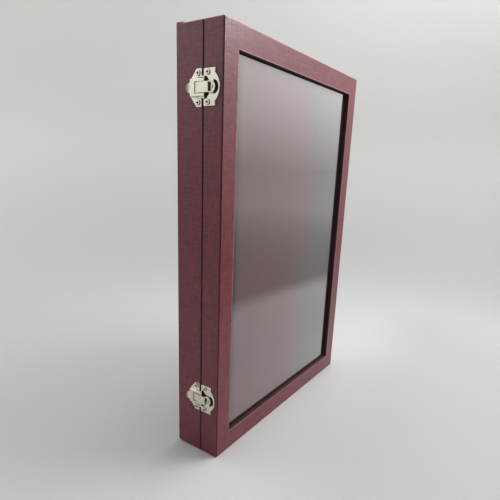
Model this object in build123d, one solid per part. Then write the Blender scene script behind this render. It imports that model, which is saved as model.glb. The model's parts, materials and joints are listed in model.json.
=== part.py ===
from build123d import *
import os

# A ring display box: a flat case with a framed window lid, hinged along one
# long side and held shut by two toggle latches along the other.
# Millimetres. It stands on a short end, as in use on a counter.
# X runs from the latch side to the hinge side, Y from the window face to the
# back, Z up along the long sides. The origin is the middle of the lower end.

# Case
CASE_WIDTH = 240.0
CASE_DEPTH = 45.0
CASE_HEIGHT = 350.0
LID_DEPTH = 18.3
SPLIT_GAP = 0.3
BOARD_THICKNESS = 8.0
COVER_THICKNESS = 0.6
CORNER_ROUND = 0.8
SPLIT_EDGE_ROUND = 0.9
INNER_EDGE_ROUND = 0.5
BACK_THICKNESS = 5.8
BACK_LIFT = 1.0

# Window frame of the lid
RAIL_WIDTH = 17.4
RAIL_THICKNESS = 3.4
FRONT_EDGE_ROUND = 0.45
FRONT_COVER_MARGIN = 0.3
SEAM_WIDTH = 1.1
SEAM_DEPTH = 0.5
PANE_THICKNESS = 2.0
PANE_CLEARANCE = 0.4
BEAD_WIDTH = 5.9
BEAD_THICKNESS = 3.0
BEAD_CLEARANCE = 0.1

# Ring insert
ROLL_COUNT = 9
ROLL_GAP = 0.3
ROLL_BELOW_EDGE = 4.7
ROLL_DOME_SHARE = 0.45
ROLL_END_ROUND = 1.5
TRAY_THICKNESS = 1.5
TRAY_CLEARANCE = 0.3

# Fixings shared by latches and hinges
RUNNING_CLEARANCE = 0.05
SCREW_HEAD_RADIUS = 1.95
SCREW_HEAD_HEIGHT = 0.8
SCREW_HEAD_ROUND = 0.35
SCREW_SHANK_RADIUS = 0.9
SCREW_POINT_LENGTH = 1.6
SCREW_TIP_RADIUS = 0.1
SCREW_TO_INNER_FACE = 2.4
SCREW_HOLE_CLEARANCE = 0.1
RECESS_LENGTH = 2.3
RECESS_WIDTH = 0.7
RECESS_DEPTH = 0.5
RECESS_CENTRE_RADIUS = 0.75
PIN_HEAD_LENGTH = 0.3
PIN_HEAD_OVERHANG = 0.25

# Latches, measured from the split line and from each latch's middle
TOP_LATCH_FROM_TOP = 45.0
BOTTOM_LATCH_FROM_END = 54.0
PLATE_THICKNESS = 0.8
PLATE_TO_SPLIT = 1.1
PLATE_HALF_HEIGHT = 13.0
PLATE_TAB_REACH = 5.8
PLATE_POINT_REACH = 11.5
PLATE_POINT_HEIGHT = 5.9
PLATE_NECK_REACH = 10.4
PLATE_NECK_HEIGHT = 4.6
PLATE_CORNER_ROUND = 0.5
LATCH_SCREW_HEIGHT = 10.0
BASE_SCREW_REACH = 4.3
CATCH_SCREW_REACH = 5.3

PIVOT_REACH = 2.1
PIVOT_PIN_RADIUS = 0.45
EAR_WALL = 0.5
EAR_THICKNESS = 0.8
EAR_LIFT = 0.4
EAR_FOOT_REACH = 5.5
EAR_GAP = 0.3
OVER_CENTRE = 0.4

LEVER_HALF_HEIGHT = 6.2
LEVER_REACH = 10.7
LEVER_WALL = 0.6
LEVER_ROUND = 0.55
LEVER_LIFT = 0.2
BARREL_WALL = 0.3
TAB_HALF_HEIGHT = 4.0
TAB_REACH = 13.2
TAB_RISE = 1.5
SLOT_MARGIN = 0.45
SLOT_REACH = 6.1
FLANGE_LENGTH = 2.4

LINK_THICKNESS = 0.5
LINK_HALF_HEIGHT = 3.65
LINK_PIN_RADIUS = 0.35
LINK_PIN_REACH = 5.0
LINK_EYE_LIFT = 0.1
LINK_FLAT_START = 3.65
LINK_RISE_LENGTH = 0.95
LINK_OVER_PIN = 0.25
LINK_FALL_START = 6.3
LINK_BEND_RADIUS = 0.6
LOOP_RADIUS = 4.1
LOOP_REACH = 12.6
LOOP_HOLE_RADIUS = 3.2
LOOP_RIM_WIDTH = 1.75
LOOP_HOLE_START = 6.8
LOOP_LIFT = 0.35

CATCH_THICKNESS = 1.2
CATCH_HALF_HEIGHT = 12.7
CATCH_TO_SPLIT = 1.3
CATCH_TAB_HEIGHT = 7.6
CATCH_TAB_REACH = 12.1
CATCH_NOTCH_REACH = 11.8
CATCH_NOTCH_HEIGHT = 9.6
CATCH_SHOULDER_REACH = 13.0
CATCH_SHOULDER_HEIGHT = 8.4
CATCH_REACH = 16.1
CATCH_CHEEK_REACH = 4.0
CATCH_CHEEK_HEIGHT = 7.3
CATCH_WEB_REACH = 6.6
CATCH_WEB_HEIGHT = 4.2
CATCH_RIM_WIDTH = 1.1
CATCH_HOLE_RADIUS = 4.8
CATCH_EDGE_ROUND = 0.3
HOOK_GAP = 0.45
HOOK_THICKNESS = 0.7
HOOK_HALF_HEIGHT = 1.2
HOOK_HEIGHT = 1.4
HOOK_LEAN = 0.1

# Hinges
HINGE_FROM_END = 62.0
HINGE_LENGTH = 24.0
HINGE_KNUCKLE_GAP = 0.2
HINGE_MIDDLE_LENGTH = 7.8
LEAF_THICKNESS = 0.8
LEAF_WIDTH = 10.0
LEAF_TO_SPLIT = 1.9
LEAF_CORNER_ROUND = 1.0
KNUCKLE_LIFT = 0.2
KNUCKLE_WALL = 0.85
HINGE_PIN_RADIUS = 0.8
HINGE_SCREW_REACH = 7.0
HINGE_SCREW_SPACING = 14.0

# Planes and lengths that follow from the sizes above
FRONT_Y = -CASE_DEPTH / 2
BACK_Y = CASE_DEPTH / 2
SPLIT_Y = FRONT_Y + LID_DEPTH
BASE_EDGE_Y = SPLIT_Y + SPLIT_GAP / 2
LID_EDGE_Y = SPLIT_Y - SPLIT_GAP / 2
BACK_FACE_Y = BACK_Y - BACK_THICKNESS
TRAY_Y = BACK_FACE_Y - TRAY_THICKNESS
ROLL_CROWN_Y = BASE_EDGE_Y + ROLL_BELOW_EDGE
RAIL_FRONT_Y = FRONT_Y + COVER_THICKNESS
PANE_FRONT_Y = RAIL_FRONT_Y + RAIL_THICKNESS
PANE_BACK_Y = PANE_FRONT_Y + PANE_THICKNESS
WALL_THICKNESS = BOARD_THICKNESS + 2 * COVER_THICKNESS
FRAME_WIDTH = COVER_THICKNESS + RAIL_WIDTH
SCREW_LENGTH = WALL_THICKNESS - SCREW_TO_INNER_FACE

SIDE_ENDS = {
    "bottom": ("latch_bottom", "hinge_bottom"),
    "hinge": ("hinge_bottom", "hinge_top"),
    "top": ("hinge_top", "latch_top"),
    "latch": ("latch_top", "latch_bottom"),
}
LATCH_HEIGHTS = {
    "top": CASE_HEIGHT - TOP_LATCH_FROM_TOP,
    "bottom": BOTTOM_LATCH_FROM_END,
}
HINGE_HEIGHTS = {
    "top": CASE_HEIGHT - HINGE_FROM_END,
    "bottom": HINGE_FROM_END,
}


# Helpers for blocks, outlines and strips

def block(x_range, y_range, z_range):
    """A box between pairs of coordinates."""
    middle = [sum(span) / 2 for span in (x_range, y_range, z_range)]
    lengths = [max(span) - min(span) for span in (x_range, y_range, z_range)]
    return Pos(*middle) * Box(*lengths)


def slab(points, front, back):
    """An outline of (x, z) points, extruded from y = front to y = back."""
    outline = make_face(Polyline(*points, close=True))
    return extrude(Plane.XZ.offset(-back) * outline, back - front)


def sheet(outline, low, high):
    """A flat outline, extruded from z = low to z = high."""
    return extrude(Pos(0, 0, low) * outline, high - low)


def rod(radius, length, x, z):
    """A round bar along y, centred on y = 0."""
    return Pos(x, 0, z) * Rot(90, 0, 0) * Cylinder(radius, length)


def both_halves(shape):
    """A shape and its mirror image in the plane y = 0."""
    return shape + mirror(shape, Plane.XZ)


def edge_through(shape, point):
    return shape.edges().sort_by_distance(point)[0]


def case_corners(inset):
    """The corners of the case's outline, moved inwards by an inset."""
    half = CASE_WIDTH / 2 - inset
    top = CASE_HEIGHT - inset
    return {
        "latch_bottom": (-half, inset),
        "hinge_bottom": (half, inset),
        "hinge_top": (half, top),
        "latch_top": (-half, top),
    }


def mitred_strip(side, outer_inset, inner_inset, front, back):
    """One side of a frame between two insets, with mitred ends."""
    start, end = SIDE_ENDS[side]
    outer = case_corners(outer_inset)
    inner = case_corners(inner_inset)
    return slab([outer[start], outer[end], inner[end], inner[start]], front, back)


def middle_of_side(side, inset, y):
    """The point halfway along a side, at an inset from the outline."""
    start, end = SIDE_ENDS[side]
    corners = case_corners(inset)
    x = (corners[start][0] + corners[end][0]) / 2
    z = (corners[start][1] + corners[end][1]) / 2
    return (x, y, z)


def inner_block(inset, front, back):
    """A block that fills the case's outline at an inset."""
    half = CASE_WIDTH / 2 - inset
    return block((-half, half), (front, back), (inset, CASE_HEIGHT - inset))


def rounded_outline():
    """The case's outline with its four corners rounded, through the depth."""
    outline = RectangleRounded(CASE_WIDTH, CASE_HEIGHT, CORNER_ROUND)
    face = Plane.XZ.offset(-BACK_Y) * Pos(0, CASE_HEIGHT / 2) * outline
    return extrude(face, CASE_DEPTH)


# Boards, rails and the covering on them

def wall_cover(side, skin, edge, flap, split):
    """The covering of one wall: outer skin, edge at the split and inner flap.

    skin, edge and flap are (front, back) pairs, and split is the edge's y.
    """
    cover = mitred_strip(side, 0, COVER_THICKNESS, *skin)
    cover += mitred_strip(side, 0, WALL_THICKNESS, *edge)
    cover += mitred_strip(side, WALL_THICKNESS - COVER_THICKNESS, WALL_THICKNESS, *flap)
    outer_edge = edge_through(cover, middle_of_side(side, 0, split))
    cover = fillet(outer_edge, SPLIT_EDGE_ROUND)
    inner_edge = edge_through(cover, middle_of_side(side, WALL_THICKNESS, split))
    cover = fillet(inner_edge, INNER_EDGE_ROUND)
    return cover & rounded_outline()


def base_cover(side):
    whole = (BASE_EDGE_Y, BACK_FACE_Y)
    edge = (BASE_EDGE_Y, BASE_EDGE_Y + COVER_THICKNESS)
    return wall_cover(side, whole, edge, whole, BASE_EDGE_Y)


def base_board(side):
    insets = (COVER_THICKNESS, WALL_THICKNESS - COVER_THICKNESS)
    return mitred_strip(side, *insets, BASE_EDGE_Y + COVER_THICKNESS, BACK_FACE_Y)


def lid_cover(side):
    """The long sides stop short of the front face and leave an open seam."""
    on_long_side = side in ("latch", "hinge")
    skin_front = FRONT_Y + SEAM_DEPTH if on_long_side else RAIL_FRONT_Y
    skin = (skin_front, LID_EDGE_Y)
    edge = (LID_EDGE_Y - COVER_THICKNESS, LID_EDGE_Y)
    flap = (PANE_FRONT_Y, LID_EDGE_Y)
    return wall_cover(side, skin, edge, flap, LID_EDGE_Y)


def lid_board(side):
    insets = (COVER_THICKNESS, WALL_THICKNESS - COVER_THICKNESS)
    return mitred_strip(side, *insets, PANE_FRONT_Y, LID_EDGE_Y - COVER_THICKNESS)


def lid_rail(side):
    """A flat rail of the window frame, on the front ends of the walls."""
    return mitred_strip(side, COVER_THICKNESS, FRAME_WIDTH - COVER_THICKNESS, RAIL_FRONT_Y, PANE_FRONT_Y)


def lid_front_cover():
    """The covering of the window frame, turned into the window's reveal."""
    half = CASE_WIDTH / 2 - SEAM_WIDTH
    ends = (FRONT_COVER_MARGIN, CASE_HEIGHT - FRONT_COVER_MARGIN)
    cover = block((-half, half), (FRONT_Y, RAIL_FRONT_Y), ends)
    for height in ends:
        cover = fillet(edge_through(cover, (0, FRONT_Y, height)), FRONT_EDGE_ROUND)
    cover += inner_block(FRAME_WIDTH - COVER_THICKNESS, RAIL_FRONT_Y, PANE_FRONT_Y)
    cover -= inner_block(FRAME_WIDTH, FRONT_Y, PANE_FRONT_Y)
    reveal = [edge_through(cover, middle_of_side(side, FRAME_WIDTH, FRONT_Y)) for side in SIDE_ENDS]
    return fillet(reveal, FRONT_EDGE_ROUND)


def window_pane():
    return inner_block(WALL_THICKNESS + PANE_CLEARANCE, PANE_FRONT_Y, PANE_BACK_Y)


def pane_bead(side):
    outer = WALL_THICKNESS + BEAD_CLEARANCE
    return mitred_strip(side, outer, outer + BEAD_WIDTH, PANE_BACK_Y, PANE_BACK_Y + BEAD_THICKNESS)


def back_board():
    board = inner_block(COVER_THICKNESS, BACK_FACE_Y, BACK_Y - COVER_THICKNESS)
    return Pos(0, 0, BACK_LIFT) * board


def back_cover():
    """The back panel's covering, over its outer face and its four edges."""
    panel = inner_block(0, BACK_FACE_Y, BACK_Y) & rounded_outline()
    panel -= inner_block(COVER_THICKNESS, BACK_FACE_Y, BACK_Y - COVER_THICKNESS)
    outer_edges = [edge_through(panel, middle_of_side(side, 0, BACK_Y)) for side in SIDE_ENDS]
    panel = fillet(outer_edges, INNER_EDGE_ROUND)
    return Pos(0, 0, BACK_LIFT) * panel


# Ring insert

def tray_floor():
    return inner_block(WALL_THICKNESS + TRAY_CLEARANCE, TRAY_Y, BACK_FACE_Y)


def ring_roll(number):
    """A padded roll with a domed top, standing the full inner height."""
    inner_width = CASE_WIDTH - 2 * WALL_THICKNESS
    pitch = (inner_width - ROLL_GAP) / ROLL_COUNT
    half = (pitch - ROLL_GAP) / 2
    dome = ROLL_DOME_SHARE * (TRAY_Y - ROLL_CROWN_Y)
    shoulder_y = ROLL_CROWN_Y + dome
    section = Pos(0, shoulder_y) * Ellipse(half, dome)
    section += Pos(0, shoulder_y) * Rectangle(2 * half, TRAY_Y - shoulder_y, align=(Align.CENTER, Align.MIN))
    bottom = WALL_THICKNESS + ROLL_GAP
    length = CASE_HEIGHT - 2 * bottom
    roll = extrude(section, length)
    ends = roll.faces().filter_by(Axis.Z).edges() - roll.faces().sort_by(Axis.Y)[-1].edges()
    roll = fillet(ends, ROLL_END_ROUND)
    centre = (number - (ROLL_COUNT + 1) / 2) * pitch
    return Pos(centre, 0, bottom) * roll


# Screws and pins

def screw():
    """A wood screw with a cross recess, its seat at z = 0."""
    upward = (Align.CENTER, Align.CENTER, Align.MIN)
    head = Cylinder(SCREW_HEAD_RADIUS, SCREW_HEAD_HEIGHT, align=upward)
    head = fillet(head.edges().group_by(Axis.Z)[-1], SCREW_HEAD_ROUND)
    recess_span = (SCREW_HEAD_HEIGHT - RECESS_DEPTH, SCREW_HEAD_HEIGHT)
    for length, width in ((RECESS_LENGTH, RECESS_WIDTH), (RECESS_WIDTH, RECESS_LENGTH)):
        head -= block((-length / 2, length / 2), (-width / 2, width / 2), recess_span)
    head -= Pos(0, 0, recess_span[0]) * Cylinder(RECESS_CENTRE_RADIUS, RECESS_DEPTH, align=upward)
    straight = SCREW_LENGTH - SCREW_POINT_LENGTH
    downward = (Align.CENTER, Align.CENTER, Align.MAX)
    shank = Cylinder(SCREW_SHANK_RADIUS, straight, align=downward)
    point = Cone(SCREW_TIP_RADIUS, SCREW_SHANK_RADIUS, SCREW_POINT_LENGTH, align=downward)
    return head + shank + Pos(0, 0, -straight) * point


def screw_hole(depth):
    """The hole that a screw fills in the covering and the board."""
    downward = (Align.CENTER, Align.CENTER, Align.MAX)
    return Cylinder(SCREW_SHANK_RADIUS, depth, align=downward)


def clearance_hole(thickness):
    """The wider hole that a screw passes in a plate that lies on z = 0."""
    upward = (Align.CENTER, Align.CENTER, Align.MIN)
    return Cylinder(SCREW_SHANK_RADIUS + SCREW_HOLE_CLEARANCE, thickness, align=upward)


def headed_pin(radius, grip, x, z):
    """A pin along y with a flat head beyond each end of its grip."""
    pin = rod(radius, grip + 2 * PIN_HEAD_LENGTH, x, z)
    head = rod(radius + PIN_HEAD_OVERHANG, PIN_HEAD_LENGTH, x, z)
    offset = (grip + PIN_HEAD_LENGTH) / 2
    return pin + Pos(0, offset, 0) * head + Pos(0, -offset, 0) * head


# Latches: x from the split towards the lid, y up the case, z out of its side

EYE_RADIUS = LINK_PIN_RADIUS + RUNNING_CLEARANCE + LINK_THICKNESS
LINK_PIN_HEIGHT = PLATE_THICKNESS + LINK_EYE_LIFT + EYE_RADIUS
PIVOT_HEIGHT = LINK_PIN_HEIGHT + OVER_CENTRE
BARREL_RADIUS = PIVOT_PIN_RADIUS + RUNNING_CLEARANCE + BARREL_WALL
LEVER_TOP = PIVOT_HEIGHT + BARREL_RADIUS
LEVER_BOTTOM = PLATE_THICKNESS + LEVER_LIFT
SLOT_HALF_HEIGHT = LINK_HALF_HEIGHT + SLOT_MARGIN
EAR_INNER = LEVER_HALF_HEIGHT + EAR_GAP
EAR_OUTER = EAR_INNER + EAR_THICKNESS
LINK_FLAT_HEIGHT = PIVOT_HEIGHT + PIVOT_PIN_RADIUS + LINK_OVER_PIN + LINK_THICKNESS / 2
LOOP_HEIGHT = CATCH_THICKNESS + LOOP_LIFT + LINK_THICKNESS / 2
HOLE_END = LOOP_REACH - LOOP_RIM_WIDTH
HOOK_FACE = HOLE_END - HOOK_GAP


def latch_plane(height):
    return Plane(origin=(-CASE_WIDTH / 2, SPLIT_Y, height), x_dir=(0, -1, 0), z_dir=(-1, 0, 0))


def mirrored_outline(upper, rounding):
    """A face from its upper points, mirrored to the lower half, corners eased."""
    lower = [(x, -y) for x, y in reversed(upper)]
    face = make_face(Polyline(*upper, *lower, close=True))
    return fillet(face.vertices(), rounding)


def latch_base_plate():
    """The plate on the base, with two upright ears for the lever's pivot."""
    upper = [
        (-PLATE_NECK_REACH, PLATE_NECK_HEIGHT),
        (-PLATE_POINT_REACH, PLATE_POINT_HEIGHT),
        (-PLATE_TAB_REACH, PLATE_HALF_HEIGHT),
        (-PLATE_TO_SPLIT, PLATE_HALF_HEIGHT),
    ]
    plate = sheet(mirrored_outline(upper, PLATE_CORNER_ROUND), 0, PLATE_THICKNESS)
    radius = PIVOT_PIN_RADIUS + EAR_WALL
    side = [
        (-EAR_FOOT_REACH, 0),
        (-PLATE_TO_SPLIT, 0),
        (-PLATE_TO_SPLIT, EAR_LIFT),
        (PIVOT_REACH, PIVOT_HEIGHT - radius),
        (PIVOT_REACH, PIVOT_HEIGHT + radius),
        (-PLATE_TO_SPLIT, PIVOT_HEIGHT + radius),
        (-EAR_FOOT_REACH, PLATE_THICKNESS),
    ]
    ear = slab(side, EAR_INNER, EAR_OUTER)
    ear += Pos(0, (EAR_INNER + EAR_OUTER) / 2, 0) * rod(radius, EAR_THICKNESS, PIVOT_REACH, PIVOT_HEIGHT)
    plate += both_halves(ear)
    plate -= rod(PIVOT_PIN_RADIUS, 2 * PLATE_HALF_HEIGHT, PIVOT_REACH, PIVOT_HEIGHT)
    for height in (-LATCH_SCREW_HEIGHT, LATCH_SCREW_HEIGHT):
        plate -= Pos(-BASE_SCREW_REACH, height) * clearance_hole(PLATE_THICKNESS)
    return plate


def latch_lever():
    """A shallow hollow lever: curled round its pivot, slotted for the link."""
    half = LEVER_HALF_HEIGHT
    lever = block((-LEVER_REACH, PIVOT_REACH), (-half, half), (LEVER_BOTTOM, LEVER_TOP))
    rim = [edge_through(lever, (-LEVER_REACH, 0, LEVER_TOP))]
    rim += [edge_through(lever, (0, y, LEVER_TOP)) for y in (-half, half)]
    rim += [edge_through(lever, (-LEVER_REACH, y, (LEVER_BOTTOM + LEVER_TOP) / 2)) for y in (-half, half)]
    lever = fillet(rim, LEVER_ROUND)
    hollow = half - LEVER_WALL
    lever -= block(
        (-LEVER_REACH + LEVER_WALL, PIVOT_REACH),
        (-hollow, hollow),
        (0, LEVER_TOP - LEVER_WALL),
    )
    lever += rod(BARREL_RADIUS, 2 * half, PIVOT_REACH, PIVOT_HEIGHT)
    lever += thumb_tab()
    lever -= block((-SLOT_REACH, LEVER_REACH), (-SLOT_HALF_HEIGHT, SLOT_HALF_HEIGHT), (0, 2 * LEVER_TOP))
    flange = block(
        (-SLOT_REACH, -SLOT_REACH + FLANGE_LENGTH),
        (SLOT_HALF_HEIGHT, SLOT_HALF_HEIGHT + LEVER_WALL),
        (LEVER_BOTTOM, LEVER_TOP - LEVER_WALL),
    )
    lever += both_halves(flange)
    lever -= rod(PIVOT_PIN_RADIUS + RUNNING_CLEARANCE, 3 * half, PIVOT_REACH, PIVOT_HEIGHT)
    return lever - rod(LINK_PIN_RADIUS, 2 * hollow, -LINK_PIN_REACH, LINK_PIN_HEIGHT)


def thumb_tab():
    """The rounded tongue at the lever's free end, bent up for a fingertip."""
    root = -LEVER_REACH + LEVER_WALL
    low = LEVER_TOP - LEVER_WALL
    side = [
        (root, low),
        (-LEVER_REACH, low),
        (-TAB_REACH, low + TAB_RISE),
        (-TAB_REACH, LEVER_TOP + TAB_RISE),
        (-LEVER_REACH, LEVER_TOP),
        (root, LEVER_TOP),
    ]
    tongue = slab(side, -TAB_HALF_HEIGHT, TAB_HALF_HEIGHT)
    centre = -TAB_REACH + TAB_HALF_HEIGHT
    outline = Pos(centre, 0) * Circle(TAB_HALF_HEIGHT)
    outline += Pos(centre + TAB_HALF_HEIGHT, 0) * Rectangle(2 * TAB_HALF_HEIGHT, 2 * TAB_HALF_HEIGHT)
    return tongue & sheet(outline, 0, 2 * LEVER_TOP)


def latch_link():
    """A strap rolled round its pin, arched over the pivot, ending in a loop."""
    eye_top = LINK_PIN_HEIGHT + EYE_RADIUS - LINK_THICKNESS / 2
    path = FilletPolyline(
        (-LINK_PIN_REACH, eye_top),
        (-LINK_FLAT_START, eye_top),
        (-LINK_FLAT_START + LINK_RISE_LENGTH, LINK_FLAT_HEIGHT),
        (LINK_FALL_START, LINK_FLAT_HEIGHT),
        (HOOK_FACE, LOOP_HEIGHT),
        (LOOP_REACH + LINK_THICKNESS, LOOP_HEIGHT),
        radius=LINK_BEND_RADIUS,
    )
    strap = extrude(Plane.XZ * trace(path, LINK_THICKNESS), LOOP_RADIUS, both=True)
    outline = loop_outline()
    strap &= sheet(outline, 0, 2 * LEVER_TOP)
    eye = rod(EYE_RADIUS, 2 * LINK_HALF_HEIGHT, -LINK_PIN_REACH, LINK_PIN_HEIGHT)
    hole = rod(LINK_PIN_RADIUS + RUNNING_CLEARANCE, 3 * LINK_HALF_HEIGHT, -LINK_PIN_REACH, LINK_PIN_HEIGHT)
    return strap + eye - hole


def loop_outline():
    """The strap seen from outside: straight, then round, with a D-shaped hole."""
    start = -LINK_PIN_REACH
    end = LOOP_REACH - LOOP_RADIUS
    outline = Pos((start + end) / 2, 0) * Rectangle(end - start, 2 * LINK_HALF_HEIGHT)
    outline += Pos(end, 0) * Circle(LOOP_RADIUS)
    hole_centre = HOLE_END - LOOP_HOLE_RADIUS
    hole = Pos(hole_centre, 0) * Circle(LOOP_HOLE_RADIUS)
    keep = Pos(LOOP_HOLE_START + LOOP_REACH / 2, 0) * Rectangle(LOOP_REACH, 2 * LOOP_REACH)
    return outline - (hole & keep)


def latch_catch_plate():
    """The plate on the lid, with a D-shaped opening and a hook beside it."""
    inner = [
        (CATCH_WEB_REACH, CATCH_WEB_HEIGHT),
        (CATCH_CHEEK_REACH, CATCH_CHEEK_HEIGHT),
        (CATCH_TO_SPLIT, CATCH_TAB_HEIGHT),
        (CATCH_TO_SPLIT, CATCH_HALF_HEIGHT),
        (CATCH_TAB_REACH, CATCH_HALF_HEIGHT),
        (CATCH_NOTCH_REACH, CATCH_NOTCH_HEIGHT),
        (CATCH_SHOULDER_REACH, CATCH_SHOULDER_HEIGHT),
    ]
    lower = [(x, -y) for x, y in inner]
    straight = Polyline(*inner)
    mirrored = Polyline(*lower)
    bulge = ThreePointArc(inner[-1], (CATCH_REACH, 0), lower[-1])
    web = Line(lower[0], inner[0])
    plate = sheet(make_face([straight, bulge, mirrored, web]), 0, CATCH_THICKNESS)
    hole_centre = CATCH_REACH - CATCH_RIM_WIDTH - CATCH_HOLE_RADIUS
    hole = Pos(hole_centre, 0) * Circle(CATCH_HOLE_RADIUS)
    keep = Pos(HOOK_FACE + CATCH_REACH / 2, 0) * Rectangle(CATCH_REACH, 2 * CATCH_REACH)
    plate -= sheet(hole & keep, 0, CATCH_THICKNESS)
    plate = fillet(plate.edges().group_by(Axis.Z)[-1], CATCH_EDGE_ROUND)
    plate += catch_hook()
    for height in (-LATCH_SCREW_HEIGHT, LATCH_SCREW_HEIGHT):
        plate -= Pos(CATCH_SCREW_REACH, height) * clearance_hole(CATCH_THICKNESS)
    return plate


def catch_hook():
    """The tongue that stands in the link's loop, leaning away from the split."""
    top = CATCH_THICKNESS + HOOK_HEIGHT
    side = [
        (HOOK_FACE - HOOK_THICKNESS, 0),
        (HOOK_FACE, 0),
        (HOOK_FACE, CATCH_THICKNESS),
        (HOOK_FACE + HOOK_LEAN, top),
        (HOOK_FACE + HOOK_LEAN - HOOK_THICKNESS, top),
    ]
    return slab(side, -HOOK_HALF_HEIGHT, HOOK_HALF_HEIGHT)


def latch_pivot_pin():
    return headed_pin(PIVOT_PIN_RADIUS, 2 * EAR_OUTER, PIVOT_REACH, PIVOT_HEIGHT)


def latch_link_pin():
    grip = 2 * (SLOT_HALF_HEIGHT + LEVER_WALL)
    return headed_pin(LINK_PIN_RADIUS, grip, -LINK_PIN_REACH, LINK_PIN_HEIGHT)


# Hinges: x from the split towards the base, y up the case, z out of its side

KNUCKLE_RADIUS = HINGE_PIN_RADIUS + RUNNING_CLEARANCE + KNUCKLE_WALL
HINGE_AXIS_HEIGHT = KNUCKLE_RADIUS + KNUCKLE_LIFT


def hinge_plane(height):
    return Plane(origin=(CASE_WIDTH / 2, SPLIT_Y, height), x_dir=(0, 1, 0), z_dir=(1, 0, 0))


def hinge_leaf(knuckle_spans):
    """A leaf on the base's side of the split, with knuckles on the given spans."""
    outline = Rectangle(LEAF_WIDTH, HINGE_LENGTH)
    outline = fillet(outline.vertices().group_by(Axis.X)[-1], LEAF_CORNER_ROUND)
    leaf = sheet(Pos(LEAF_TO_SPLIT + LEAF_WIDTH / 2, 0) * outline, 0, LEAF_THICKNESS)
    for low, high in knuckle_spans:
        web = block((0, LEAF_TO_SPLIT), (low, high), (KNUCKLE_LIFT, LEAF_THICKNESS))
        knuckle = Pos(0, (low + high) / 2, 0) * rod(KNUCKLE_RADIUS, high - low, 0, HINGE_AXIS_HEIGHT)
        leaf += web + knuckle
    leaf -= rod(HINGE_PIN_RADIUS + RUNNING_CLEARANCE, 2 * HINGE_LENGTH, 0, HINGE_AXIS_HEIGHT)
    for height in (-HINGE_SCREW_SPACING / 2, HINGE_SCREW_SPACING / 2):
        leaf -= Pos(HINGE_SCREW_REACH, height) * clearance_hole(LEAF_THICKNESS)
    return leaf


def hinge_base_leaf():
    middle = HINGE_MIDDLE_LENGTH / 2 + HINGE_KNUCKLE_GAP
    end = HINGE_LENGTH / 2
    return hinge_leaf([(-end, -middle), (middle, end)])


def hinge_lid_leaf():
    middle = HINGE_MIDDLE_LENGTH / 2
    return mirror(hinge_leaf([(-middle, middle)]), Plane.YZ)


def hinge_pin():
    return headed_pin(HINGE_PIN_RADIUS, HINGE_LENGTH, 0, HINGE_AXIS_HEIGHT)


# Where the screws go: a frame on the face, then x and y in it

def screw_places(planes, reach, heights, seat):
    """The locations of a set of screws, with their heads on the plate's face."""
    places = []
    for plane in planes:
        for height in heights:
            places.append(plane.location * Location((reach, height, seat)))
    return places


LATCH_PLANES = {name: latch_plane(height) for name, height in LATCH_HEIGHTS.items()}
HINGE_PLANES = {name: hinge_plane(height) for name, height in HINGE_HEIGHTS.items()}
LATCH_ROWS = (-LATCH_SCREW_HEIGHT, LATCH_SCREW_HEIGHT)
HINGE_ROWS = (-HINGE_SCREW_SPACING / 2, HINGE_SCREW_SPACING / 2)
SCREW_SETS = {
    "latch_base_screws": (LATCH_PLANES, -BASE_SCREW_REACH, LATCH_ROWS, PLATE_THICKNESS),
    "latch_catch_screws": (LATCH_PLANES, CATCH_SCREW_REACH, LATCH_ROWS, CATCH_THICKNESS),
    "hinge_base_screws": (HINGE_PLANES, HINGE_SCREW_REACH, HINGE_ROWS, LEAF_THICKNESS),
    "hinge_lid_screws": (HINGE_PLANES, -HINGE_SCREW_REACH, HINGE_ROWS, LEAF_THICKNESS),
}
SCREWED_WALLS = {
    "latch_base_screws": ("base_board_latch", "base_cover_latch"),
    "latch_catch_screws": ("lid_board_latch", "lid_cover_latch"),
    "hinge_base_screws": ("base_board_hinge", "base_cover_hinge"),
    "hinge_lid_screws": ("lid_board_hinge", "lid_cover_hinge"),
}


# The whole box, one entry for each piece or set of like pieces

def build():
    parts = {}
    for side in SIDE_ENDS:
        parts[f"base_board_{side}"] = base_board(side)
        parts[f"base_cover_{side}"] = base_cover(side)
        parts[f"lid_board_{side}"] = lid_board(side)
        parts[f"lid_cover_{side}"] = lid_cover(side)
        parts[f"lid_rail_{side}"] = lid_rail(side)
        parts[f"pane_bead_{side}"] = pane_bead(side)
    parts["back_board"] = back_board()
    parts["back_cover"] = back_cover()
    parts["lid_front_cover"] = lid_front_cover()
    parts["window_pane"] = window_pane()
    parts["tray_floor"] = tray_floor()
    for number in range(1, ROLL_COUNT + 1):
        parts[f"ring_roll_{number}"] = ring_roll(number)

    for name, plane in LATCH_PLANES.items():
        parts[f"latch_base_plate_{name}"] = plane * latch_base_plate()
        parts[f"latch_catch_plate_{name}"] = plane * latch_catch_plate()
        parts[f"latch_lever_{name}"] = plane * latch_lever()
        parts[f"latch_link_{name}"] = plane * latch_link()
        parts[f"latch_link_pin_{name}"] = plane * latch_link_pin()
    for name, plane in HINGE_PLANES.items():
        parts[f"hinge_base_leaf_{name}"] = plane * hinge_base_leaf()
        parts[f"hinge_lid_leaf_{name}"] = plane * hinge_lid_leaf()
    parts["latch_pivot_pins"] = Compound([plane * latch_pivot_pin() for plane in LATCH_PLANES.values()])
    parts["hinge_pins"] = Compound([plane * hinge_pin() for plane in HINGE_PLANES.values()])

    for name, (planes, reach, rows, seat) in SCREW_SETS.items():
        places = screw_places(planes.values(), reach, rows, seat)
        parts[name] = Compound([place * screw() for place in places])
        for wall in SCREWED_WALLS[name]:
            for place in places:
                parts[wall] -= place * screw_hole(SCREW_LENGTH)
    return parts


os.makedirs("parts", exist_ok=True)
for node, shape in build().items():
    export_step(shape, os.path.join("parts", node + ".step"))
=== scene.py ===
import json
import math
from functools import reduce

import bmesh
import bpy
from mathutils import Matrix, Vector, noise


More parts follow.
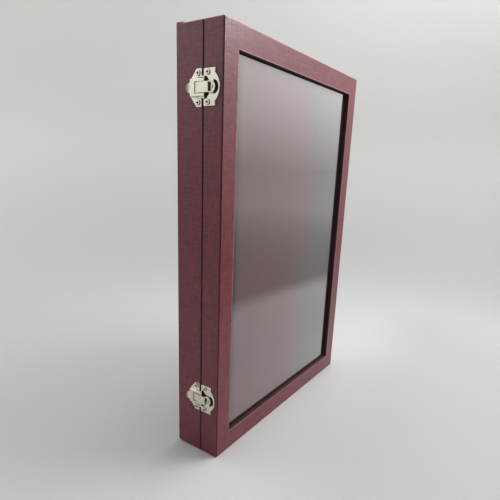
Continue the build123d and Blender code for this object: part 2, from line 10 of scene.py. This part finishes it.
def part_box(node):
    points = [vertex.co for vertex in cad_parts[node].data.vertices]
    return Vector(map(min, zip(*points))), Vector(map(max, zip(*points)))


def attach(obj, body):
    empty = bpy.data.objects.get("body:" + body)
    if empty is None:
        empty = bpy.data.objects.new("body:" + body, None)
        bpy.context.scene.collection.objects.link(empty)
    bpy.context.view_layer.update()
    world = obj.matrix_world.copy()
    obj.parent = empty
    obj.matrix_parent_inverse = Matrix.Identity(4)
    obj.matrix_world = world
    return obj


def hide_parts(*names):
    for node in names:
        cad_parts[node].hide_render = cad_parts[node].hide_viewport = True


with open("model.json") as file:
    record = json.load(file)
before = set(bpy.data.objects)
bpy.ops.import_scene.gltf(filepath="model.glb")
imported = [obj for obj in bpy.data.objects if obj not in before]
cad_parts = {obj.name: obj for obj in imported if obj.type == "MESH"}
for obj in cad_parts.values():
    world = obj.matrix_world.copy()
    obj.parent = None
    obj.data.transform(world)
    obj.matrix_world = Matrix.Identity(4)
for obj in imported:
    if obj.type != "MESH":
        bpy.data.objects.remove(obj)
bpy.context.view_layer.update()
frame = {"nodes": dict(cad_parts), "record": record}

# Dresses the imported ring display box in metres, in the part's own frame: X from the latch side
# to the hinge side, Y from the window to the back, Z up. The window faces -Y.

NODES = frame["nodes"]
MM = 0.001

# Sizes of the case that the looks depend on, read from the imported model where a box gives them
CASE_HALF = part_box("lid_cover_hinge")[1].x
CASE_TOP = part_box("lid_cover_top")[1].z
MIDDLE = CASE_TOP / 2
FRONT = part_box("lid_front_cover")[0].y
SPLIT_MIDDLE = (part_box("base_cover_latch")[0].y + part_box("lid_cover_latch")[1].y) / 2
BACK_PANEL_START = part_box("back_cover")[0].y
BASE_PLATE_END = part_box("latch_base_plate_top")[1].y
CATCH_PLATES = [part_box(f"latch_catch_plate_{where}") for where in ("top", "bottom")]
FRAME_WIDTH = 18 * MM
WINDOW_HALF_WIDTH = CASE_HALF - FRAME_WIDTH
WINDOW_HALF_HEIGHT = MIDDLE - FRAME_WIDTH
REVEAL_DEPTH = 4 * MM
SCREWS = ("latch_base_screws", "latch_catch_screws", "hinge_base_screws", "hinge_lid_screws")
ROLLS = sorted(name for name in NODES if name.startswith("ring_roll_"))

# Camera, fitted to the photograph: its place in metres, angles in degrees, lens in millimetres
CAMERA_AT = (-0.3741, -0.2271, 0.2517)
CAMERA_YAW = 56.14
CAMERA_PITCH = -14.94
CAMERA_ROLL = 2.37
CAMERA_LENS = 30.74
CAMERA_SHIFT = (-0.0106, 0.0598)


# Node trees

def colour_socket(sockets, name):
    """A mix node has a socket of each name for every type of value. This is the colour's."""
    return next(socket for socket in sockets if socket.name == name and socket.type == "RGBA")


class Nodes:
    """Short ways to add nodes to a tree. Lengths are metres."""

    def __init__(self, tree):
        self.tree = tree

    def add(self, kind, settings=None, **inputs):
        node = self.tree.nodes.new(kind)
        for name, value in (settings or {}).items():
            setattr(node, name, value)
        for name, value in inputs.items():
            self.put(node.inputs[name.replace("_", " ")], value)
        return node

    def put(self, socket, value):
        if isinstance(value, bpy.types.NodeSocket):
            self.tree.links.new(value, socket)
        else:
            socket.default_value = value

    def put_all(self, node, values):
        for socket, value in zip(node.inputs, values):
            self.put(socket, value)
        return node

    def math(self, operation, *values, clamp=False):
        node = self.add("ShaderNodeMath", {"operation": operation, "use_clamp": clamp})
        return self.put_all(node, values).outputs[0]

    def vector_math(self, operation, *values):
        node = self.add("ShaderNodeVectorMath", {"operation": operation})
        return self.put_all(node, values).outputs["Value"]

    def chain(self, operation, values):
        return reduce(lambda first, second: self.math(operation, first, second), values)

    def plus(self, *values):
        return self.chain("ADD", values)

    def times(self, *values):
        return self.chain("MULTIPLY", values)

    def most(self, *values):
        return self.chain("MAXIMUM", values)

    def minus(self, first, second):
        return self.math("SUBTRACT", first, second)

    def scaled(self, value, factor, added):
        """value times factor, plus added."""
        return self.math("MULTIPLY_ADD", value, factor, added)

    def ramp(self, value, low, high, start=0.0, end=1.0):
        """Maps low..high smoothly to start..end."""
        node = self.add("ShaderNodeMapRange", {"interpolation_type": "SMOOTHSTEP"}, Value=value)
        for name, number in (("From Min", low), ("From Max", high), ("To Min", start), ("To Max", end)):
            node.inputs[name].default_value = number
        return node.outputs[0]

    def distance(self, coordinate, centre):
        return self.math("ABSOLUTE", self.minus(coordinate, centre))

    def beyond(self, coordinate, centre, start, end):
        """0 to 1 as a coordinate's distance from centre goes from start to end."""
        return self.ramp(self.distance(coordinate, centre), start, end)

    def within(self, coordinate, centre, start, end):
        """1 to 0 as a coordinate's distance from centre goes from start to end."""
        return self.ramp(self.distance(coordinate, centre), start, end, 1.0, 0.0)

    def blend(self, share, first, second):
        node = self.add("ShaderNodeMix", {"data_type": "RGBA"})
        self.put(node.inputs["Factor"], share)
        for name, value in (("A", first), ("B", second)):
            opaque = value if isinstance(value, bpy.types.NodeSocket) else (*value, 1.0)
            self.put(colour_socket(node.inputs, name), opaque)
        return colour_socket(node.outputs, "Result")


class Finish(Nodes):
    """A material with one Principled shader, patterned in the object's own coordinates."""

    def __init__(self, name, **constants):
        self.material = bpy.data.materials.new(name)
        self.material.use_nodes = True
        super().__init__(self.material.node_tree)
        self.shader = self.tree.nodes["Principled BSDF"]
        self.place = self.add("ShaderNodeTexCoord").outputs["Object"]
        for name, value in constants.items():
            self.shader.inputs[name.replace("_", " ")].default_value = value

    def axes(self):
        return self.add("ShaderNodeSeparateXYZ", Vector=self.place).outputs

    def noise(self, size, detail, stretch=(1, 1, 1)):
        """Noise from 0 to 1 whose blotches are about size across."""
        place = self.place
        if stretch != (1, 1, 1):
            place = self.add("ShaderNodeMapping", Vector=place, Scale=stretch).outputs[0]
        node = self.add("ShaderNodeTexNoise", Vector=place, Scale=1 / size, Detail=detail)
        return node.outputs["Fac"]

    def colour(self, value):
        self.put(self.shader.inputs["Base Color"], value)

    def rough(self, value):
        self.put(self.shader.inputs["Roughness"], value)

    def metallic(self, value):
        self.put(self.shader.inputs["Metallic"], value)

    def alpha(self, value):
        self.put(self.shader.inputs["Alpha"], value)

    def bump(self, height, depth, strength=1.0):
        node = self.add("ShaderNodeBump", Height=height, Distance=depth, Strength=strength)
        self.tree.links.new(node.outputs["Normal"], self.shader.inputs["Normal"])


# Leatherette covering

THREAD_WIDTH = 0.65 * MM
THREAD_LENGTH = 9 * MM
PEBBLE_SIZE = 1.3 * MM
PEBBLE_SHARE = 0.35
GRAIN_LOW = 1.40
GRAIN_HIGH = 1.95
EMBOSS_DEPTH = 0.07 * MM
EDGE_START = 1.3 * MM
EDGE_END = 0.25 * MM
DARKEST = 0.95
COVER_DEEP = ((0.095, 0.008, 0.018), (0.122, 0.013, 0.027))
COVER_CREST = ((0.170, 0.019, 0.037), (0.236, 0.036, 0.060))
COVER_WORN_AND_HIGHLIT = (0.42, 0.20, 0.24)
COVER_REVEAL_SHADE = (0.050, 0.002, 0.008)
COVER_PAINTED_SHADE = (0.010, 0.001, 0.003)


def linen_grain(look):
    """1 on the raised threads of the emboss and 0 between: streaks along X, Y and Z, summed."""
    along = THREAD_WIDTH / THREAD_LENGTH
    directions = ((along, 1, 1), (1, along, 1), (1, 1, along))
    weave = look.plus(*[look.noise(THREAD_WIDTH, 1.5, direction) for direction in directions])
    pebble = look.noise(PEBBLE_SIZE, 2)
    return look.ramp(look.scaled(pebble, PEBBLE_SHARE, weave), GRAIN_LOW, GRAIN_HIGH)


def from_window(look, x, z):
    """How far a point is outside the window's opening, seen from the front."""
    across = look.minus(look.distance(x, 0.0), WINDOW_HALF_WIDTH)
    along = look.minus(look.distance(z, MIDDLE), WINDOW_HALF_HEIGHT)
    return look.most(across, along)


def worn_and_highlit_edges(look, x, y, z):
    """Rubbed, with a painted highlight: the ends' outer edges and the window's rim, less at the foot."""
    near_end = look.beyond(z, MIDDLE, MIDDLE - EDGE_START, MIDDLE - EDGE_END)
    near_side = look.beyond(x, 0.0, CASE_HALF - EDGE_START, CASE_HALF - EDGE_END)
    near_face = look.ramp(y, FRONT + EDGE_END, FRONT + EDGE_START, 1.0, 0.0)
    off_back = look.ramp(y, BACK_PANEL_START - 1.2 * MM, BACK_PANEL_START - 0.2 * MM, 1.0, 0.0)
    end_edge = look.times(near_end, look.most(look.times(near_side, off_back), near_face))
    # The window's rim is a painted highlight along the top of its rounded edge.
    window_rim_highlight = look.times(look.within(from_window(look, x, z), 0.6 * MM, 0.1 * MM, 0.6 * MM), near_face)
    patchy = look.ramp(look.noise(5 * MM, 3), 0.3, 0.7, 0.35, 0.95)
    above_foot = look.ramp(z, 17 * MM, 30 * MM, 0.45, 1.0)
    return look.times(look.most(end_edge, window_rim_highlight), patchy, above_foot)


def split_line(look, x, y, z):
    """The outer edge of the join between base and lid, darkened with painted shade for the gap."""
    past_side = look.minus(look.distance(x, 0.0), CASE_HALF)
    past_end = look.minus(look.distance(z, MIDDLE), MIDDLE)
    outer = look.ramp(look.most(past_side, past_end), -0.8 * MM, -0.3 * MM)
    return look.times(look.within(y, SPLIT_MIDDLE, 0.55 * MM, 1.30 * MM), outer)


def corner_seam(look, x, y, z):
    """The open seam along the long front corners, darkened with painted shade, darkest towards the top.
    """
    at_corner = look.beyond(x, 0.0, CASE_HALF - 0.9 * MM, CASE_HALF - 0.7 * MM)
    at_front = look.ramp(y, FRONT + 0.6 * MM, FRONT + 1.4 * MM, 1.0, 0.0)
    return look.times(at_corner, at_front, look.ramp(z, 60 * MM, 240 * MM, 0.25, 0.95))


def window_reveal(look, x, y, z):
    """The covering that turns in from the frame's face to the pane, darkened with painted shade."""
    inside = look.ramp(from_window(look, x, z), 0.05 * MM, 0.40 * MM, 1.0, 0.0)
    behind_face = look.ramp(y, FRONT + 0.1 * MM, FRONT + 0.6 * MM)
    pane_at = FRONT + REVEAL_DEPTH
    before_pane = look.ramp(y, pane_at + 1 * MM, pane_at + 2 * MM, 1.0, 0.0)
    return look.times(inside, behind_face, before_pane)


def behind_latches(look, x, y, z):
    """The covering that shows only through the openings of the catch plates, darkened with painted shade.
    """
    spots = []
    for low, high in CATCH_PLATES:
        centre = (low + high) / 2
        near_z = look.within(z, centre.z, 5 * MM, 8 * MM)
        near_y = look.within(y, centre.y, 5 * MM, 8 * MM)
        spots.append(look.times(near_z, near_y))
    on_side = look.within(x, -CASE_HALF, 0.4 * MM, 0.8 * MM)
    return look.times(look.most(*spots), on_side)


def leatherette():
    """Maroon paper-backed covering with a fine linen emboss and a satin sheen.

    It is worn lighter on the outer edges, partly wear and partly painted highlight. Painted shade
    darkens it at the split, the front corners' open seams, the window's reveal and behind the latches.
    """
    look = Finish("leatherette", IOR=1.57)
    x, y, z = look.axes()
    grain = linen_grain(look)
    mottle = look.noise(3.0 * MM, 3)
    deep = look.blend(look.noise(45 * MM, 3), *COVER_DEEP)
    crest = look.blend(mottle, *COVER_CREST)
    colour = look.blend(grain, deep, crest)
    colour = look.blend(worn_and_highlit_edges(look, x, y, z), colour, COVER_WORN_AND_HIGHLIT)

    # The reveal is painted shade: dark red at the front.
    reveal = window_reveal(look, x, y, z)
    colour = look.blend(look.times(reveal, DARKEST), colour, COVER_REVEAL_SHADE)
    # Deeper in the reveal the painted shade turns nearly black.
    towards_pane = look.ramp(y, FRONT + 0.3 * REVEAL_DEPTH, FRONT + 0.6 * REVEAL_DEPTH)
    # Painted shade in the gaps, the deep reveal and the latch openings, not a colour of the covering.
    painted_shade_places = (
        split_line(look, x, y, z),
        corner_seam(look, x, y, z),
        look.times(reveal, towards_pane),
        behind_latches(look, x, y, z),
    )
    painted_shade = look.times(look.most(*painted_shade_places), DARKEST)
    look.colour(look.blend(painted_shade, colour, COVER_PAINTED_SHADE))

    satin = look.scaled(grain, -0.06, look.scaled(mottle, 0.12, 0.30))
    look.rough(look.most(satin, look.times(look.most(painted_shade, reveal), 0.85)))
    look.bump(grain, EMBOSS_DEPTH, 0.5)
    return look.material


# Other materials

def bare_board():
    look = Finish("board")
    fibre = look.noise(0.7 * MM, 4, (1, 1, 0.25))
    look.colour(look.blend(fibre, (0.30, 0.20, 0.12), (0.46, 0.34, 0.22)))
    look.rough(look.scaled(fibre, 0.15, 0.75))
    look.bump(fibre, 0.05 * MM)
    return look.material


def dark_board():
    """Nearly black board for the lid's rails and the beads; on the rails it is painted shade for the
    seams.
    """
    look = Finish("dark_board")
    fibre = look.noise(0.8 * MM, 4, (1, 1, 0.3))
    look.colour(look.blend(fibre, (0.022, 0.004, 0.007), (0.048, 0.010, 0.016)))
    look.rough(look.scaled(fibre, 0.2, 0.6))
    look.bump(fibre, 0.04 * MM)
    return look.material


def pane():
    """A clear sheet with a faint milky haze, redder towards the latch side; the rim has painted shade.

    The sheet mirrors more and shows less of the inside where it is seen at a slant.
    """
    look = Finish("pane", IOR=1.5, Coat_Weight=1.0, Coat_IOR=2.6, Coat_Roughness=0.015)
    x, _, z = look.axes()
    wiped = look.noise(55 * MM, 3)
    smear = look.noise(9 * MM, 4, (1, 1, 0.5))
    haze = look.scaled(smear, 0.25, look.times(wiped, 0.75))
    neutral = look.ramp(look.scaled(haze, 90 * MM, x), 30 * MM, 120 * MM)
    haze_colour = look.blend(neutral, (0.150, 0.071, 0.074), (0.122, 0.119, 0.117))
    # Painted shade of the frame on the haze, wider at the sides than at the ends.
    at_side = look.beyond(x, 0.0, WINDOW_HALF_WIDTH - 13 * MM, WINDOW_HALF_WIDTH - 5 * MM)
    at_end = look.beyond(z, MIDDLE, WINDOW_HALF_HEIGHT - 5 * MM, WINDOW_HALF_HEIGHT - 2 * MM)
    rim_shade = look.times(look.most(at_side, at_end), 0.92)
    look.colour(look.blend(rim_shade, haze_colour, (0.012, 0.001, 0.003)))
    look.rough(look.scaled(smear, 0.04, 0.03))
    slant = look.add("ShaderNodeLayerWeight", Blend=0.5).outputs["Facing"]
    look.alpha(look.math("ADD", look.scaled(wiped, 0.08, 0.26), slant, clamp=True))
    return look.material


def velvet(name, dark, light):
    """Short pile that lightens where it lies over, with a soft sheen."""
    look = Finish(name, Sheen_Weight=0.55, Sheen_Roughness=0.35, Sheen_Tint=(0.75, 0.25, 0.32, 1.0))
    nap = look.noise(9 * MM, 3, (1, 1, 0.5))
    pile = look.noise(0.35 * MM, 2)
    look.colour(look.blend(look.scaled(pile, 0.4, look.times(nap, 0.6)), dark, light))
    look.rough(look.scaled(nap, 0.12, 0.82))
    look.bump(pile, 0.12 * MM, 0.6)
    return look.material


def nickel():
    """Bright warm plate with faint polishing marks and duller spots; the thumb tabs get painted shade."""
    look = Finish("nickel", Metallic=1.0)
    x, y, _ = look.axes()
    spots = look.noise(3.5 * MM, 3)
    marks = look.noise(0.5 * MM, 2, (1, 1, 0.12))
    clean = look.blend(spots, (0.74, 0.71, 0.60), (0.86, 0.83, 0.72))
    # Painted shade: the thumb tabs, where they stand past the base plate, go dark.
    past_plate = look.ramp(y, BASE_PLATE_END, BASE_PLATE_END + 0.8 * MM)
    on_latch_side = look.ramp(x, -1 * MM, 1 * MM, 0.8, 0.0)
    look.colour(look.blend(look.times(past_plate, on_latch_side), clean, (0.26, 0.235, 0.175)))
    look.rough(look.scaled(marks, 0.10, look.scaled(spots, 0.10, 0.12)))
    look.bump(marks, 0.01 * MM, 0.4)
    return look.material


def screw_metal(head_top):
    """The same plate on screws whose heads end at |x| = head_top, with painted shade down in the recess.
    """
    look = Finish("screw_metal")
    x, _, _ = look.axes()
    depth = look.minus(head_top, look.distance(x, 0.0))
    recess_shade = look.ramp(depth, 0.12 * MM, 0.35 * MM)
    clean = look.blend(look.noise(1.5 * MM, 3), (0.70, 0.67, 0.57), (0.82, 0.79, 0.69))
    look.colour(look.blend(recess_shade, clean, (0.012, 0.010, 0.008)))
    look.metallic(look.minus(1.0, recess_shade))
    look.rough(look.scaled(recess_shade, 0.5, 0.24))
    return look.material


FINISHES = {
    "leatherette": leatherette(),
    "board": bare_board(),
    "dark_board": dark_board(),
    "pane": pane(),
    "tray_lining": velvet("tray_lining", (0.060, 0.005, 0.011), (0.100, 0.010, 0.021)),
    "velvet": velvet("velvet", (0.085, 0.007, 0.016), (0.150, 0.016, 0.032)),
    "nickel": nickel(),
}


def dress(thing, material):
    thing.data.materials.clear()
    thing.data.materials.append(material)


for part in frame["record"]["subparts"]:
    dress(NODES[part["node"]], FINISHES[part["material_slot"]])

for name in SCREWS:
    low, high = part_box(name)
    dress(NODES[name], screw_metal(max(abs(low.x), abs(high.x))))


# Velvet rolls: three shapes are swollen by cloth simulation and used in turn

ROLL_SHAPES = 3
ROLL_RINGS = 112
ROLL_SIDE_STEPS = 4
ROLL_DOME_STEPS = 16
ROLL_DOME_SHARE = 0.45
ROLL_FOOT_SHARE = 1 / 8
ROLL_EASED = 0.35
ROLL_END = 5 * MM
ROLL_TUCK = 0.8
ROLL_SHRINK = 0.9 * MM
ROLL_UNEVEN = 0.35 * MM
DENTS_ACROSS = 60
DENTS_ALONG = 25
DENTS_STEP = 7.1
GLUED_HEIGHT = 1.5 * MM
VOXEL = 2.6 * MM
SWELL_FRAMES = 20
SWELL_PRESSURE = 4.0
SWELL_CAP = 1.6 * MM


def roll_section(width, height):
    """Points over the roll from foot to foot: straight sides, then a domed top, as (x, up)."""
    dome = ROLL_DOME_SHARE * height
    side = height - dome
    rise = [side * step / ROLL_SIDE_STEPS for step in range(ROLL_SIDE_STEPS)]
    points = [(-width / 2, up) for up in rise]
    for step in range(ROLL_DOME_STEPS + 1):
        angle = math.pi * (1 - step / ROLL_DOME_STEPS)
        points.append((width / 2 * math.cos(angle), side + dome * math.sin(angle)))
    return points + [(width / 2, up) for up in reversed(rise)]


def slack_roll(width, height, length, seed):
    """The roll before it swells: slightly small and uneven, its ends rounded over and tucked."""
    outline = roll_section(width, height)
    mesh = bmesh.new()
    rings = []
    for ring in range(ROLL_RINGS + 1):
        share = ring / ROLL_RINGS
        eased = 0.5 - 0.5 * math.cos(math.pi * share)
        along = length * (ROLL_EASED * eased + (1 - ROLL_EASED) * share)
        inside = min(1.0, min(along, length - along) / ROLL_END)
        tuck = (1 - math.sqrt(1 - (1 - inside) ** 2)) * ROLL_END * ROLL_TUCK
        verts = []
        for x, up in outline:
            spot = Vector((x * DENTS_ACROSS + seed * DENTS_STEP, up * DENTS_ACROSS, along * DENTS_ALONG))
            dent = ROLL_UNEVEN * noise.noise(spot) * inside
            scale = 1 - (tuck - dent) / (width / 2)
            off_foot = min(1.0, up / height / ROLL_FOOT_SHARE)
            lifted = max(0.0, (up - tuck + dent) * off_foot)
            verts.append(mesh.verts.new((x * scale, lifted, along)))
        rings.append(verts)
    for first, second in zip(rings, rings[1:]):
        for corners in zip(first, first[1:], second[1:], second):
            mesh.faces.new(corners)
        mesh.faces.new((first[-1], first[0], second[0], second[-1]))
    mesh.faces.new(rings[0])
    mesh.faces.new(list(reversed(rings[-1])))
    bmesh.ops.recalc_face_normals(mesh, faces=mesh.faces)
    return mesh


def evaluated_copy(thing):
    view = bpy.context.evaluated_depsgraph_get()
    return bpy.data.meshes.new_from_object(thing.evaluated_get(view), depsgraph=view).copy()


def swell(roll):
    """Blows the roll up as cloth, glued down along its foot, and keeps each point's travel short."""
    foot = roll.vertex_groups.new(name="foot")
    glued = [vert.index for vert in roll.data.vertices if vert.co.y < GLUED_HEIGHT]
    foot.add(glued, 1.0, "REPLACE")
    cloth = roll.modifiers.new("cloth", "CLOTH")
    settings = cloth.settings
    settings.quality = 6
    settings.mass = 0.15
    settings.tension_stiffness = 12
    settings.compression_stiffness = 12
    settings.shear_stiffness = 4
    settings.bending_stiffness = 0.3
    settings.use_pressure = True
    settings.uniform_pressure_force = SWELL_PRESSURE
    settings.effector_weights.gravity = 0.0
    settings.vertex_group_mass = foot.name
    cloth.collision_settings.use_collision = False
    cloth.collision_settings.use_self_collision = False
    cloth.point_cache.frame_start = 1
    cloth.point_cache.frame_end = SWELL_FRAMES
    for frame_number in range(1, SWELL_FRAMES + 1):
        bpy.context.scene.frame_set(frame_number)
    swollen = evaluated_copy(roll)
    roll.modifiers.remove(cloth)
    for vert, moved in zip(roll.data.vertices, swollen.vertices):
        travel = moved.co - vert.co
        if travel.length > SWELL_CAP:
            travel *= SWELL_CAP / travel.length
        vert.co += travel
    bpy.context.scene.frame_set(1)


def swollen_roll(size, seed):
    """A roll's mesh on its foot at up = 0: x across, y up, z along, swollen like stuffed velvet."""
    width, height, length = size
    mesh = slack_roll(width - 2 * ROLL_SHRINK, height - ROLL_SHRINK, length - 2 * ROLL_SHRINK, seed)
    data = bpy.data.meshes.new("slack_roll")
    mesh.to_mesh(data)
    mesh.free()
    roll = bpy.data.objects.new("slack_roll", data)
    bpy.context.scene.collection.objects.link(roll)
    remesh = roll.modifiers.new("remesh", "REMESH")
    remesh.mode = "VOXEL"
    remesh.voxel_size = VOXEL
    roll.data = evaluated_copy(roll)
    roll.modifiers.remove(remesh)
    swell(roll)
    smooth = roll.modifiers.new("smooth", "SUBSURF")
    smooth.levels = 1
    smooth.render_levels = 1
    result = evaluated_copy(roll)
    bpy.data.objects.remove(roll)
    for vert in result.vertices:
        vert.co.z += ROLL_SHRINK
        vert.co.x = min(width / 2, max(-width / 2, vert.co.x))
        vert.co.y = min(height, max(0.0, vert.co.y))
        vert.co.z = min(length, max(0.0, vert.co.z))
    for face in result.polygons:
        face.use_smooth = True
    return result


def velvet_rolls():
    """Each roll takes a swollen shape in turn, mirrored end for end and side for side at times."""
    low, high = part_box(ROLLS[0])
    size = (high.x - low.x, high.y - low.y, high.z - low.z)
    shapes = [swollen_roll(size, seed) for seed in range(ROLL_SHAPES)]
    for index, node in enumerate(ROLLS):
        low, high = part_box(node)
        name = f"velvet_{node}"
        data = shapes[index % ROLL_SHAPES].copy()
        data.name = name
        swap_sides = (index // ROLL_SHAPES) % 2 == 1
        swap_ends = index % 2 == 1
        for vert in data.vertices:
            across, up, along = vert.co
            across = -across if swap_sides else across
            along = size[2] - along if swap_ends else along
            vert.co = ((low.x + high.x) / 2 + across, high.y - up, low.z + along)
        if swap_sides == swap_ends:
            data.flip_normals()
        piece = bpy.data.objects.new(name, data)
        bpy.context.scene.collection.objects.link(piece)
        dress(piece, FINISHES["velvet"])
        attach(piece, "base")
        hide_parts(node)


velvet_rolls()


# Studio: a pale floor with a grey patch in front that the pane mirrors, and a round wall behind

FLOOR_HALF = 60.0
WALL_RADIUS = 0.90
WALL_HEIGHT = 1.0
WALL_FROM_DEGREES = -22
WALL_TO_DEGREES = 125
WALL_STEPS = 56
SWEEP_RADIUS = 0.38
SWEEP_STEPS = 16
PALE = (0.56, 0.56, 0.55)
PALER = (0.78, 0.78, 0.765)
FRONT_SHADED_PALE = (0.49, 0.49, 0.482)
FAR_PALE = (0.74, 0.74, 0.726)
GREY = (0.16, 0.16, 0.157)
FIBRE_DARK = (0.2, 0.2, 0.2)

# The picture's right edge crosses the floor along a line of this slope, and the grey patch
# starts just outside it
GREY_SLOPE = 0.0935
GREY_START = 0.235
GREY_FADE = 0.08


def studio_material(name, shade):
    """A matt pale surface whose colour is what shade(look) gives."""
    look = Finish(name)
    fibre = look.noise(1.5 * MM, 4)
    look.colour(look.blend(look.times(fibre, 0.08), shade(look), FIBRE_DARK))
    look.rough(look.scaled(fibre, 0.1, 0.75))
    return look.material


def floor_shade(look):
    """Pale round the box, with painted shade just in front; grey beyond the front on the hinge side; pale
    far away.
    """
    x, y, _ = look.axes()
    in_front = look.minus(look.times(x, GREY_SLOPE), y)
    away = look.vector_math("LENGTH", look.place)
    # Just in front of the box the floor is a little darker: painted shade.
    front_shade_share = look.times(look.ramp(in_front, 0.02, 0.14), look.ramp(away, 0.30, 0.50, 1.0, 0.0))
    near = look.blend(front_shade_share, PALE, FRONT_SHADED_PALE)
    beyond_front = look.blend(look.ramp(away, 0.25, 2.6), GREY, FAR_PALE)
    past_start = look.ramp(in_front, GREY_START, GREY_START + GREY_FADE)
    hinge_side = look.ramp(x, -0.10, 0.06)
    return look.blend(look.times(past_start, hinge_side), near, beyond_front)


def wall_shade(look):
    # Paler towards the top: painted light, as if the wall were lit more from above.
    _, _, z = look.axes()
    return look.blend(look.ramp(z, 0.0, 0.35), PALE, PALER)


def stage_mesh(name, verts, faces, material):
    data = bpy.data.meshes.new(name)
    data.from_pydata(verts, [], faces)
    data.materials.append(material)
    for face in data.polygons:
        face.use_smooth = True
    thing = bpy.data.objects.new(name, data)
    bpy.context.scene.collection.objects.link(thing)


def studio_floor(material):
    half = FLOOR_HALF
    verts = [(-half, -half, 0.0), (half, -half, 0.0), (half, half, 0.0), (-half, half, 0.0)]
    stage_mesh("studio_floor", verts, [(0, 1, 2, 3)], material)


def curved_wall(material):
    """A round wall that curves up out of the floor, far enough away for a look from any side."""
    profile = []
    for step in range(SWEEP_STEPS + 1):
        angle = math.pi / 2 * step / SWEEP_STEPS
        away = WALL_RADIUS - SWEEP_RADIUS * (1 - math.sin(angle))
        profile.append((away, SWEEP_RADIUS * (1 - math.cos(angle))))
    profile.append((WALL_RADIUS, WALL_HEIGHT))
    verts = []
    span = WALL_TO_DEGREES - WALL_FROM_DEGREES
    for step in range(WALL_STEPS + 1):
        angle = math.radians(WALL_FROM_DEGREES + span * step / WALL_STEPS)
        for away, height in profile:
            verts.append((away * math.cos(angle), away * math.sin(angle), height))
    row = len(profile)
    faces = []
    for step in range(WALL_STEPS):
        for point in range(row - 1):
            first = step * row + point
            faces.append((first, first + 1, first + row + 1, first + row))
    stage_mesh("curved_wall", verts, faces, material)


studio_floor(studio_material("floor", floor_shade))
curved_wall(studio_material("wall", wall_shade))


# Light: a soft room that is dim below the horizon and bright above it, and three soft lamps

ROOM_COLOUR = (1.0, 1.0, 0.985, 1.0)
ROOM_BELOW = 0.18
ROOM_ABOVE = 1.20
OVERHEAD_LESS = 0.45

# Two bright sides, mirrored in the window and in the long side, and one dim side
WINDOW_MIRRORS = Vector((0.80, -0.45, 0.30)).normalized()
LONG_SIDE_MIRRORS = Vector((-0.75, 0.62, 0.25)).normalized()
BRIGHT_SIDES = ((WINDOW_MIRRORS, 0.55), (LONG_SIDE_MIRRORS, 0.40))
DIM_SIDE = Vector((-0.85, -0.50, 0.0)).normalized()
DIM_LIGHT = 0.14
DIM_SHOWN = 0.55

# Name, place, aim, size and power
LAMPS = (
    ("front_top", (0.19, -0.27, 0.60), (0.08, 0.0, 0.34), 0.30, 2.0),
    ("wall_wash", (0.45, -0.05, 1.20), (0.82, 0.02, 0.12), 0.50, 5.2),
    ("back_fill", (-0.20, 0.60, 0.62), (-0.15, 0.12, 0.0), 0.35, 0.9),
)


def room_light():
    """The room's own light. Its dim side is less dim where it is seen or mirrored."""
    world = bpy.data.worlds.new("room")
    world.use_nodes = True
    bpy.context.scene.world = world
    nodes = Nodes(world.node_tree)
    direction = nodes.add("ShaderNodeTexCoord").outputs["Generated"]
    height = nodes.add("ShaderNodeSeparateXYZ", Vector=direction).outputs["Z"]
    room = nodes.ramp(height, -0.20, 0.20, ROOM_BELOW, ROOM_ABOVE)
    overhead = nodes.ramp(height, 0.40, 0.95, 0.0, -OVERHEAD_LESS)
    strength = nodes.plus(room, overhead)
    above = nodes.ramp(height, 0.0, 0.28)
    for side, extra in BRIGHT_SIDES:
        towards = nodes.vector_math("DOT_PRODUCT", direction, side)
        patch = nodes.times(nodes.ramp(towards, 0.60, 0.98, 0.0, extra), above)
        strength = nodes.plus(strength, patch)
    towards = nodes.vector_math("DOT_PRODUCT", direction, DIM_SIDE)
    dim = nodes.ramp(towards, -0.1, 0.8, 1.0, DIM_LIGHT)
    path = nodes.add("ShaderNodeLightPath").outputs
    shown = nodes.most(path["Is Camera Ray"], path["Is Glossy Ray"], path["Is Transmission Ray"])
    dim = nodes.most(dim, nodes.times(shown, DIM_SHOWN))
    background = nodes.tree.nodes["Background"]
    nodes.put(background.inputs["Strength"], nodes.times(strength, dim))
    nodes.put(background.inputs["Color"], ROOM_COLOUR)


def softbox(name, at, towards, size, power):
    light = bpy.data.lights.new(name, "AREA")
    light.shape = "DISK"
    light.size = size
    light.energy = power
    lamp = bpy.data.objects.new(name, light)
    lamp.location = at
    lamp.rotation_euler = (Vector(towards) - Vector(at)).to_track_quat("-Z", "Y").to_euler()
    bpy.context.scene.collection.objects.link(lamp)


room_light()
for lamp in LAMPS:
    softbox(*lamp)


# Camera

def photo_camera():
    yaw, pitch, roll = (math.radians(angle) for angle in (CAMERA_YAW, CAMERA_PITCH, CAMERA_ROLL))
    level = math.cos(pitch)
    forward = Vector((math.sin(yaw) * level, math.cos(yaw) * level, math.sin(pitch)))
    level_right = Vector((math.cos(yaw), -math.sin(yaw), 0))
    level_up = level_right.cross(forward)
    right = level_right * math.cos(roll) + level_up * math.sin(roll)
    up = level_up * math.cos(roll) - level_right * math.sin(roll)
    turn = Matrix((right, up, -forward)).transposed().to_4x4()
    data = bpy.data.cameras.new("photo_camera")
    data.lens = CAMERA_LENS
    data.shift_x, data.shift_y = CAMERA_SHIFT
    data.clip_start = 0.01
    camera = bpy.data.objects.new("photo_camera", data)
    camera.matrix_world = Matrix.Translation(CAMERA_AT) @ turn
    bpy.context.scene.collection.objects.link(camera)
    bpy.context.scene.camera = camera


photo_camera()
bpy.context.scene.view_settings.view_transform = "Standard"
